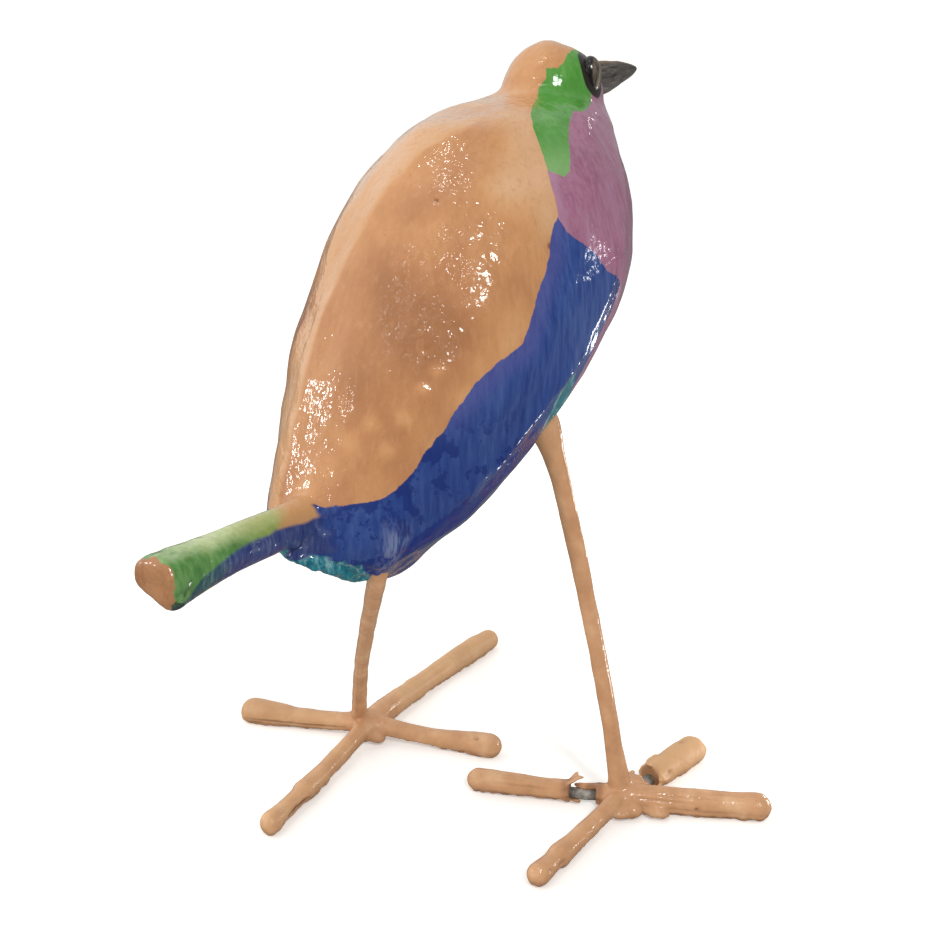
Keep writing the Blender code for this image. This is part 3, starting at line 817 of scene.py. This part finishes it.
def thorn_paint():
    paint = Paint("thorn")
    grain = paint.grain(paint.stretched(0.0, (1.0, 0.12, 1.0)), 0.45, 3.0, 0.65)
    colour = paint.shades(grain, (0.30, 38, 36, 33), (0.50, 77, 72, 67), (0.72, 118, 109, 100))
    colour = paint.tinted(colour, (paint.kept("ridge") * (0.4 + grain * 0.6), 138, 104, 74))
    return paint.finish(base_color=colour, roughness=grain.ramp(0.3, 0.7, 0.50, 0.68),
                        normal=paint.bumped((grain, 0.14), (paint.grain(paint.place(), 1.4), 0.10)))


def bead_paint():
    paint = Paint("eye bead")
    sheen_streaks = paint.grain(paint.stretched(0.0, (1.0, 1.0, 0.25)), 0.9, 3.0, 0.6)
    # Painted reflection: the black bead is given grey-brown streaks of sheen, and only its rim is left near
    # black.
    colour = paint.shades(sheen_streaks, (0.32, 48, 42, 36), (0.52, 100, 91, 79), (0.70, 146, 135, 119))
    colour = paint.tinted(colour, (paint.kept("rim"), 16, 14, 12))
    return paint.finish(base_color=colour, roughness=sheen_streaks.ramp(0.3, 0.7, 0.14, 0.30),
                        normal=paint.bumped((sheen_streaks, 0.08)))


def wire_paint():
    paint = Paint("bare wire")
    mottle = paint.grain(paint.place(), 0.9, 3.0, 0.6)
    colour = paint.shades(mottle, (0.35, 122, 118, 110), (0.65, 178, 174, 166))
    colour = paint.tinted(colour, (paint.kept("end") * 0.7, 52, 46, 40))
    return paint.finish(base_color=colour, metallic=0.1, roughness=0.5, normal=paint.bumped((mottle, 0.10)))


# The beak and the eyes.

BEAK_LENGTH = 17.2
BEAK_DIAMETER = 7.6
BEAK_SIDES = 48
BEAK_TURN = math.radians(7.5)
BEAK_ROOT = (0.014, 0.330, 0.909)
BEAK_FLATNESS = 0.86
BEAK_RISE_SHARE = 0.30  # how far its tip is raised, in shares of its diameter
EYE_RADII = (2.4, 1.92, 3.3)  # along the head, out of it, and upright
EYE_ASIDE, EYE_AHEAD, EYE_UP = 0.0875, 0.243, 0.932


def beak():
    root = body_point(BEAK_ROOT)
    ahead = np.array((math.sin(BEAK_TURN), math.cos(BEAK_TURN), 0.0))
    across = np.array((math.cos(BEAK_TURN), -math.sin(BEAK_TURN), 0.0))
    profile = ((-4.2, 0.72), (0.0, 1.0), (5.16, 0.86), (10.32, 0.62), (14.62, 0.34), (16.5, 0.15),
               (BEAK_LENGTH, 0.04))
    rings = []
    for along, share in curve_through(profile, 8):
        radius = BEAK_DIAMETER / 2 * share
        rise = max(0.0, along / BEAK_LENGTH) * BEAK_DIAMETER * BEAK_RISE_SHARE
        ring = []
        for step in range(BEAK_SIDES):
            angle = 2 * math.pi * step / BEAK_SIDES
            ridge = 1 + 0.05 * math.exp(-(((angle - math.pi / 2) / 0.35) ** 2))
            out = radius * ridge
            lift = np.array((0, 0, out * math.sin(angle) + rise))
            ring.append(root + ahead * along + across * (out * BEAK_FLATNESS * math.cos(angle)) + lift)
        rings.append(to_frame(ring))
    piece = mesh_piece("thorn_beak", loft_mesh(rings))
    lengthwise = noise_at(places_of(piece) * (1, 0.15, 1), 0.9, 6.0)
    raise_skin(piece, 0.07 * lengthwise + 0.10 * noise_at(places_of(piece), 2.4, 8.0))
    keep_in_box(piece, "beak")
    note(piece, "ridge", soft_step(0.75, 0.95, normals_of(piece)[:, 2]))
    hand_over(piece, thorn_paint(), "thorn", "beak")


def eye(name, node, side, material):
    facing = Vector((0.93 * side, 0.30, 0.10)).normalized()
    level = Vector((0.0, 0.0, 1.0)).cross(facing).normalized()
    upright = facing.cross(level)
    along, out, up = EYE_RADII
    axes = Matrix((level * along, facing * out, upright * up)).transposed()
    centre = body_point((EYE_ASIDE * side, EYE_AHEAD, EYE_UP))
    piece = mesh_piece(name, ball(48, 32, lambda point: centre + np.array(axes @ point)))
    spots = places_of(piece)
    note(piece, "rim", soft_step(0.55, 0.30, (spots - centre) @ np.array(facing) / out))
    raise_skin(piece, 0.05 * noise_at(spots * (1, 1, 0.4), 1.1, 3.0))
    keep_in_box(piece, node)
    hand_over(piece, material, "eye_bead", node)


# The legs.

TOE_AXIS = 2.2  # how high a toe's axis lies
TOE_START = 0.8  # how far from the hub's middle the toes begin
TOE_RINGS = 56
STEM_STEPS = 44
STEM_BOW_SHARE = 0.45  # where on its way up the stem bows out
STEM_INSIDE = 6.5  # how far the stem goes on into the pod
LEG_SIDES = 28
HUB_RADII = (3.3, 3.3, 2.4)
WIRE_RADIUS = 1.15
WIRE_DROP = 0.45  # how far the wire lies below the axis
NEAR_SIDE = (0.6, -0.8, 0.0)
# Girth is the radius of the paste at shares of a toe's length. A mark is a crease, or a lip if its depth is
# below zero: from, to, turn round the toe from its top towards the near side, depth, half width, and how dark
# it is painted, as painted shade in the crease.
LEFT_TOES = {
    "outer": dict(
        length=29.7, turn=-112, bend=0.6, dry=0.55,
        girth=((0, 2.2), (0.3, 2.05), (0.6, 2.35), (0.85, 2.75), (1, 2.7)),
        marks=((5, 28, 100, 0.36, 0.24, 0.75), (20, 28, 120, 0.22, 0.24, 0.5))),
    "inner": dict(
        length=29.3, turn=71, bend=-0.4, dry=0.0,
        girth=((0, 2.3), (0.15, 1.95), (0.4, 1.72), (0.6, 2.0), (0.8, 2.6), (0.92, 2.75), (1, 2.6)),
        marks=((2, 22, 118, -0.20, 0.4, 0.0), (24, 24.6, 35, 0.45, 0.4, 0.6))),
    "front": dict(
        length=51.0, turn=-9.5, bend=5.5, dry=0.9,
        girth=((0, 2.5), (0.2, 2.6), (0.5, 2.5), (0.8, 2.75), (1, 2.6)),
        marks=((16, 17.4, -40, 0.5, 0.35, 0.9), (9, 34, 12, 0.12, 0.3, 0.12),
               (13, 30, 48, 0.12, 0.3, 0.12))),
    "back": dict(
        length=40.8, turn=168.5, bend=0.4, dry=0.4,
        girth=((0, 2.3), (0.2, 1.85), (0.45, 1.85), (0.62, 2.15), (0.67, 2.3), (0.70, 1.85), (0.85, 1.9),
               (0.93, 2.2), (1, 2.1)),
        marks=((28, 35, 96, 0.45, 0.4, 1.0), (35, 38.5, 40, 0.20, 0.4, 0.2))),
}
RIGHT_TOES = {
    "inner": dict(
        length=31.0, turn=-114, bend=0.4, dry=0.0, chip=(5.0, 10.2),
        girth=((0, 2.0), (0.3, 2.05), (0.6, 2.15), (0.8, 2.3), (0.95, 2.35), (1, 2.2)),
        marks=((27, 28.5, -20, 0.35, 0.6, 0.3), (12, 26, 105, -0.12, 0.4, 0.0),
               (13, 28, 12, 0.14, 0.3, 0.1), (14, 25, 62, 0.16, 0.3, 0.2))),
    "outer": dict(
        length=28.8, turn=62, bend=-0.4, dry=0.0,
        girth=((0, 2.7), (0.3, 2.55), (0.7, 2.7), (0.93, 2.9), (1, 2.6)),
        marks=((0, 27, 112, -0.32, 0.42, 0.0), (2, 27, 98, 0.16, 0.3, 0.25), (14, 14.5, 88, 0.4, 0.3, 0.9),
               (5, 19, 38, 0.20, 0.28, 0.12), (2, 14, 64, 0.22, 0.28, 0.2), (12, 25, 14, 0.14, 0.3, 0.1))),
    "front": dict(
        length=26.6, turn=7, bend=0.4, dry=1.0, chip=(5.4, 9.4),
        girth=((0, 2.6), (0.3, 2.6), (0.6, 2.9), (0.9, 3.25), (1, 3.0)),
        marks=((20, 22, -12, 0.3, 0.6, 0.25), (12, 13, 70, 0.3, 0.6, 0.3))),
    "back": dict(
        length=32.0, turn=179.5, bend=0.4, dry=0.1,
        girth=((0, 2.1), (0.3, 1.72), (0.6, 1.9), (0.72, 2.2), (0.78, 1.85), (0.92, 2.2), (1, 2.2)),
        marks=((24, 26, 80, 0.3, 0.5, 0.4), (28.5, 29.5, 60, 0.25, 0.5, 0.2))),
}
LEGS = {
    "left": dict(
        foot=(-25.0, -8.0), rise=1.3, base=(-28.8, -7.0), root=(0.088, -0.485, 0.056), bow=-1.2,
        toes=LEFT_TOES,
        stem=((0, 2.3), (0.04, 1.95), (0.10, 1.62), (0.33, 1.42), (0.55, 1.55), (0.67, 1.75), (1, 1.75)),
        lumps=(((-22.0, -9.8, 1.9), (2.6, 1.6, 1.3)), ((-24.5, -10.8, 1.6), (2.2, 1.5, 1.3)),
               ((-17.2, -46.6, 1.4), (1.8, 1.3, 1.3)))),
    "right": dict(
        foot=(32.0, 0.6), rise=0.6, base=(31.6, 1.2), root=(0.212, -0.092, 0.246), bow=1.2,
        toes=RIGHT_TOES,
        stem=((0, 3.1), (0.03, 2.5), (0.07, 2.0), (0.14, 1.68), (0.35, 1.6), (0.58, 1.72), (0.63, 2.05),
              (0.667, 2.6), (0.71, 3.1), (1, 2.8)),
        lumps=(((31.8, 0.8, 3.1), (3.6, 3.4, 2.3)), ((35.0, -1.4, 1.9), (2.6, 2.0, 1.7)),
               ((33.6, -3.0, 1.4), (2.4, 2.0, 1.2)), ((38.6, 1.6, 1.3), (3.4, 2.0, 1.1)),
               ((30.0, 2.6, 3.4), (1.6, 1.5, 1.3)), ((34.0, 1.4, 4.0), (1.3, 1.1, 0.8)))),
}


def toe_place(leg, toe, along):
    turn = math.radians(toe["turn"])
    share = along / toe["length"]
    aside = toe["bend"] * share**2
    right = leg["foot"][0] + along * math.sin(turn) + aside * math.cos(turn)
    ahead = leg["foot"][1] + along * math.cos(turn) - aside * math.sin(turn)
    lift = leg["rise"] * max(0.0, 1 - share / 0.55) ** 1.5
    return (right, ahead, TOE_AXIS + lift)


def toe_point(leg, toe, along, around, out):
    """A point so far along a toe and out from its axis, turned from the top towards the near side."""
    centre = np.array(toe_place(leg, toe, along))
    ahead = np.array(toe_place(leg, toe, along + 0.5)) - centre
    ahead[2] = 0.0
    ahead /= np.linalg.norm(ahead)
    near = np.cross(ahead, (0.0, 0.0, 1.0))
    near *= 1 if near @ np.array(NEAR_SIDE) > 0 else -1
    angle = math.radians(around)
    return centre + near * (out * math.sin(angle)) + np.array((0, 0, out * math.cos(angle)))


def girth_at(toe, along):
    shares, radii = np.array(toe["girth"]).T
    return np.interp(along / toe["length"], shares, radii)


def toe_stretch(leg, toe, start, stop, seed):
    """The coated stretch of a toe, lumpy, with a rounded tip and torn where the paste is chipped off."""
    length = toe["length"]
    route, radii = [], []
    for along in np.linspace(start, stop, TOE_RINGS):
        thick = girth_at(toe, along) * (1 + 0.06 * noise.noise(Vector((along / 4, seed, 0))))
        to_tip = (length - along) / thick
        if to_tip < 1:
            thick *= math.sqrt(max(0.02, 1 - (1 - to_tip) ** 2))
        route.append(toe_place(leg, toe, along))
        radii.append(thick)

    def ragged(turn, travelled):
        tear = min(travelled, abs(stop - start - travelled)) if "chip" in toe else 9.0
        uneven_edge = noise.noise(Vector((2 * math.cos(turn), 2 * math.sin(turn), seed)))
        torn = 0.45 * math.exp(-tear / 0.9) * uneven_edge
        return 1 + 0.03 * math.sin(2 * turn + travelled / 5 + seed) + torn

    return swept(route, radii, LEG_SIDES, ragged)


def ribbon(route, width, thickness):
    """A flat torn strip of paste along a route."""
    def flat(turn, travelled):
        return 1 / math.hypot(math.cos(turn) / width, math.sin(turn) / thickness)

    route = curve_through(route, 5)
    fade = np.sin(np.linspace(0.45, 2.75, len(route)))
    return swept(route, fade, 20, flat)


# What hangs on at the right foot's chips. Points of a toe are how far along, turned from its top and out.
STRIPS = (
    # toe, points, width, thickness
    ("inner", ((11.0, 5, 1.6), (9.8, 10, 2.5), (8.6, 5, 3.3), (7.6, -5, 3.1)), 1.25, 0.42),
    ("inner", ((10.6, -25, 1.9), (9.4, -20, 3.0), (8.9, -22, 3.9)), 0.9, 0.38),
    ("inner", ((9.6, -32, 1.3), (6.8, -36, 1.1), (4.0, -32, 1.5)), 1.1, 0.55),
    ("inner", ((10.4, 150, 1.6), (9.0, 140, 1.9), (7.8, 145, 1.9)), 0.5, 0.32),
    ("front", ((4.4, -50, 2.2), (5.8, -55, 2.7), (7.0, -50, 2.6)), 0.6, 0.40),
    ("front", ((10.4, -15, 2.2), (9.2, -10, 2.9), (8.4, -5, 3.3)), 0.9, 0.36),
    ("front", ((9.4, -110, 2.4), (7.2, -100, 2.5), (5.0, -95, 2.4)), 0.7, 0.40),
)
FRONT_LUMPS = (
    # point, radii
    ((13.4, -75, 3.0), (0.9, 1.4, 0.8)), ((14.8, -70, 3.0), (0.8, 1.0, 0.7)),
    ((12.0, -85, 2.8), (0.6, 0.9, 0.5)),
)
CRUMBS = (((9.2, 75, 2.9), 0.62), ((10.2, 82, 3.3), 0.5), ((8.4, 95, 3.0), 0.55), ((11.3, 85, 3.1), 0.45))


def chip_scraps(facts):
    """What still hangs on at the right foot's two chips: a lifted flake, torn strips, lumps and crumbs."""
    toes = facts["toes"]
    scraps = [ribbon([toe_point(facts, toes[toe], *point) for point in points], width, thickness)
              for toe, points, width, thickness in STRIPS]
    scraps += [lump(toe_point(facts, toes["front"], *point), radii, 10) for point, radii in FRONT_LUMPS]
    scraps += [lump(toe_point(facts, toes["front"], *point), (size, size * 1.2, size * 0.8), 8)
               for point, size in CRUMBS]
    return scraps


def leg_route(leg):
    start = np.array((*leg["base"], TOE_AXIS))
    end = body_point(leg["root"])
    heart = body_point((0.0, -0.200, 0.350))
    inward = (heart - end) / np.linalg.norm(heart - end)
    middle = start + (end - start) * STEM_BOW_SHARE + (leg["bow"], 0, 0)
    return curve_through((start, middle, end, end + inward * STEM_INSIDE), STEM_STEPS)


def wire_place(leg, toe, along):
    return np.array(toe_place(leg, toe, along)) - (0, 0, WIRE_DROP)


def bare_wire(name, facts, toe, bare):
    """The grey wire where the paste has broken off a toe."""
    near, far = toe["chip"]
    stations = np.linspace(near - 1.5, far + 1.5, 28)
    route = [wire_place(facts, toe, along) for along in stations]
    wire = mesh_piece(name, swept(route, [WIRE_RADIUS] * len(route)))
    place = places_of(wire)
    raise_skin(wire, 0.07 * noise_at(place, 0.8, 3.0))
    ends = [distance_to(wire_place(facts, toe, along), place) for along in (near, far)]
    note(wire, "end", soft_step(2.0, 1.2, np.minimum(*ends)) * 0.9)
    hand_over(wire, bare, "leg_paste")


def mark_toes(piece, facts):
    """Creases, lips and nicks in the paste, which parts of it dried dull, the dark of the torn edges, and
    painted shade in the creases and low on the toes by the floor.
    """
    place = places_of(piece)
    heights = np.zeros(len(place))
    dark = np.zeros(len(place))
    dry = np.full(len(place), 0.12)
    for toe in facts["toes"].values():
        axis = [toe_place(facts, toe, along) for along in np.linspace(2, toe["length"], 12)]
        away, share = line_distance(place, axis)
        dry = np.maximum(dry, toe["dry"] * soft_step(5.0, 3.2, away) * soft_step(0.05, 0.25, share))
        for start, stop, around, depth, width, darkness in toe["marks"]:
            spots = [toe_point(facts, toe, along, around, girth_at(toe, along))
                     for along in np.linspace(start, stop, 14)]
            near, passed = line_distance(place, spots)
            wander = 1 + 0.5 * noise_at(place, 1.6, start)
            groove = fading(near, width * wander.clip(0.4))
            groove *= np.sin(np.pi * passed.clip(0.04, 0.96)) ** 0.4
            heights -= depth * groove
            # painted shade along each crease, as dark as the mark says
            dark = np.maximum(dark, darkness * groove)
        if "chip" in toe:
            for along in toe["chip"]:
                edge = distance_to(toe_place(facts, toe, along), place)
                dark = np.maximum(dark, soft_step(2.9, 1.9, edge) * 0.55)
    # Painted shade: the paste is darkened low on the toes, within 2.4 mm of the floor.
    dark = np.maximum(dark, 0.30 * soft_step(2.4, 0.6, place[:, 2]))
    note(piece, "dry", dry)
    note(piece, "crease", dark)
    ragged = soft_step(2.0, 0.5, place[:, 2])
    heights += ragged * (noise_at(place, 1.2, 5.0) * 0.30 + np.abs(noise_at(place, 2.6, 12.0)) * 0.35 - 0.12)
    return heights


def leg(side, material, bare):
    facts = LEGS[side]
    route = leg_route(facts)
    share = np.linspace(0, 1, len(route))
    stem_at, stem_radius = np.array(facts["stem"]).T
    lumpy = np.array([0.10 * noise.noise(Vector((s * 7, len(side), 4.0))) for s in share])
    solids = [swept(route, np.interp(share, stem_at, stem_radius) + lumpy, LEG_SIDES)]
    solids.append(lump((*facts["foot"], TOE_AXIS + facts["rise"]), HUB_RADII))
    solids += [lump(centre, radii, 12) for centre, radii in facts["lumps"]]
    for index, (label, toe) in enumerate(facts["toes"].items()):
        ends = (TOE_START, *toe.get("chip", ()), toe["length"])
        for start, stop in zip(ends[::2], ends[1::2]):
            solids.append(toe_stretch(facts, toe, start, stop, index + 0.5))
        if "chip" in toe:
            bare_wire(side + "_" + label + "_bare_wire", facts, toe, bare)
    if side == "right":
        solids += chip_scraps(facts)
    piece = fused(side + "_leg_paste", solids, LEG_VOXEL)
    smoothed(piece, 5)
    heights = mark_toes(piece, facts)
    place = places_of(piece)
    raise_skin(piece, heights + noise_at(place, 4.0, 2.0) * 0.10 + noise_at(place, 2.2, 6.0) * 0.03)
    keep_in_box(piece, side + "_leg")
    hand_over(piece, material, "leg_paste", side + "_leg")


# The studio.


def area_light(name, direction, distance, size, power, centre=(0, 0, 0.08)):
    """A soft light in that direction from the figurine or from a point of it, in the frame."""
    data = bpy.data.lights.new(name, "AREA")
    data.shape = "RECTANGLE"
    data.size, data.size_y = size
    data.energy = power
    lamp = placed(name, data)
    away = Vector(direction).normalized()
    lamp.location = Vector(centre) + away * distance
    lamp.rotation_euler = away.to_track_quat("Z", "Y").to_euler()
    lamp.visible_camera = False


BRIGHT_SIDE = (0.783, 0.130, 0.609)
LAMPS = (
    # name, direction, distance, size, power, and for a near one the point it stands off from
    ("window right", (-0.63, 0.43, 0.65), 0.75, (0.12, 0.12), 2.1),
    ("window left", (0.79, 0.57, 0.21), 0.75, (0.05, 0.09), 0.75),
    ("window behind left", (0.37, 0.89, 0.26), 0.75, (0.03, 0.06), 0.28),
    ("lamp overhead", (0.09, 0.17, 0.98), 0.8, (0.035, 0.035), 0.28),
    ("lamp behind", (0.06, 0.76, 0.65), 0.8, (0.03, 0.02), 0.10),
    ("lamp behind right", (-0.30, 0.60, 0.74), 0.8, (0.04, 0.025), 0.17),
    ("low window ahead", (-0.61, -0.79, 0.09), 0.75, (0.03, 0.02), 0.06),
    ("small lamp ahead", (-0.05, -0.90, 0.43), 0.8, (0.02, 0.02), 0.03),
    ("lamp by the breast", (-0.22, -0.92, -0.32), 0.20, (0.034, 0.026), 0.048, (-0.0232, -0.0180, 0.098)),
    ("lamp by the floor", (-0.46, -0.66, -0.59), 0.12, (0.020, 0.016), 0.016, (-0.0200, 0.0020, 0.079)),
)
SENSOR_WIDTH = 36.0
PICTURE_PIXELS = 929
FOCAL_PIXELS = 1300
CAMERA_PLACE = (-0.13369, 0.17623, 0.14662)
CAMERA_TURN = (math.radians(71), 0.0, math.radians(216))
FLOOR_HALF = 30.0


def room():
    """A white backdrop that is itself dim, and brighter on one side and overhead."""
    world = bpy.data.worlds.new("white room")
    world.use_nodes = True
    nodes = Nodes(world.node_tree)
    direction = nodes.node("ShaderNodeTexCoord", output="Generated")
    facing = nodes.node("ShaderNodeVectorMath", {"operation": "DOT_PRODUCT"},
                        {0: direction, 1: BRIGHT_SIDE}, output="Value")
    light = facing.ramp(-0.3, 1.0, 0.21, 0.98)
    backdrop = nodes.node("ShaderNodeLightPath", output="Is Camera Ray")
    background = world.node_tree.nodes["Background"]
    background.inputs["Color"].default_value = (1.0, 0.99, 0.975, 1.0)
    nodes.feed(background.inputs["Strength"], light + backdrop * (1.05 - light))
    return world


def studio():
    scene = bpy.context.scene
    scene.view_settings.view_transform = "Standard"
    scene.world = room()

    bm = bmesh.new()
    bmesh.ops.create_grid(bm, x_segments=2, y_segments=2, size=FLOOR_HALF)
    floor = mesh_piece("pale_floor", bm)
    paint = Paint("pale floor")
    seen = paint.node("ShaderNodeLightPath", output="Is Camera Ray")
    mirrored = paint.node("ShaderNodeLightPath", output="Is Glossy Ray")
    white = paint.blend(mirrored, (0.55, 0.54, 0.53, 1.0), (0.14, 0.14, 0.14, 1.0))
    white = paint.blend(seen, white, (0.98, 0.962, 0.925, 1.0))
    floor.data.materials.append(paint.finish(base_color=white, roughness=1.0))
    paint.shader.inputs["Specular IOR Level"].default_value = 0.0
    paint.shader.inputs["Emission Color"].default_value = (1.0, 0.995, 0.985, 1.0)
    # Painted shadow: the floor glows less near its middle, within 16 cm and most within 3 cm, as a soft
    # shadow round the feet.
    spot = paint.node("ShaderNodeVectorMath", {"operation": "LENGTH"}, {0: paint.place()}, output="Value")
    glow_with_painted_shadow = spot.ramp(0.03, 0.16, 0.31, 0.44) * (seen * 0.45 + 0.55 - mirrored * 0.4)
    paint.feed(paint.shader.inputs["Emission Strength"], glow_with_painted_shadow)

    for lamp in LAMPS:
        area_light(*lamp)

    data = bpy.data.cameras.new("camera")
    data.sensor_width = SENSOR_WIDTH
    data.lens = SENSOR_WIDTH * FOCAL_PIXELS / PICTURE_PIXELS
    camera = placed("camera", data)
    camera.location = CAMERA_PLACE
    camera.rotation_euler = CAMERA_TURN
    scene.camera = camera


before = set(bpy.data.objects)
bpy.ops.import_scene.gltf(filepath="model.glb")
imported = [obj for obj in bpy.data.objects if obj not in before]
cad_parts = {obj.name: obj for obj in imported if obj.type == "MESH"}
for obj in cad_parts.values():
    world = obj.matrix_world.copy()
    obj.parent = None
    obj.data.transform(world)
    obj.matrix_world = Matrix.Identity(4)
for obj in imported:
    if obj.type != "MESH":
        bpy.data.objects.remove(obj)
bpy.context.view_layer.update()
studio()
body()
beak()
bead = bead_paint()
eye("right_eye_bead", "right_eye", 1, bead)
eye("left_eye_bead", "left_eye", -1, bead)
paste, bare = leg_paint(), wire_paint()
leg("left", paste, bare)
leg("right", paste, bare)
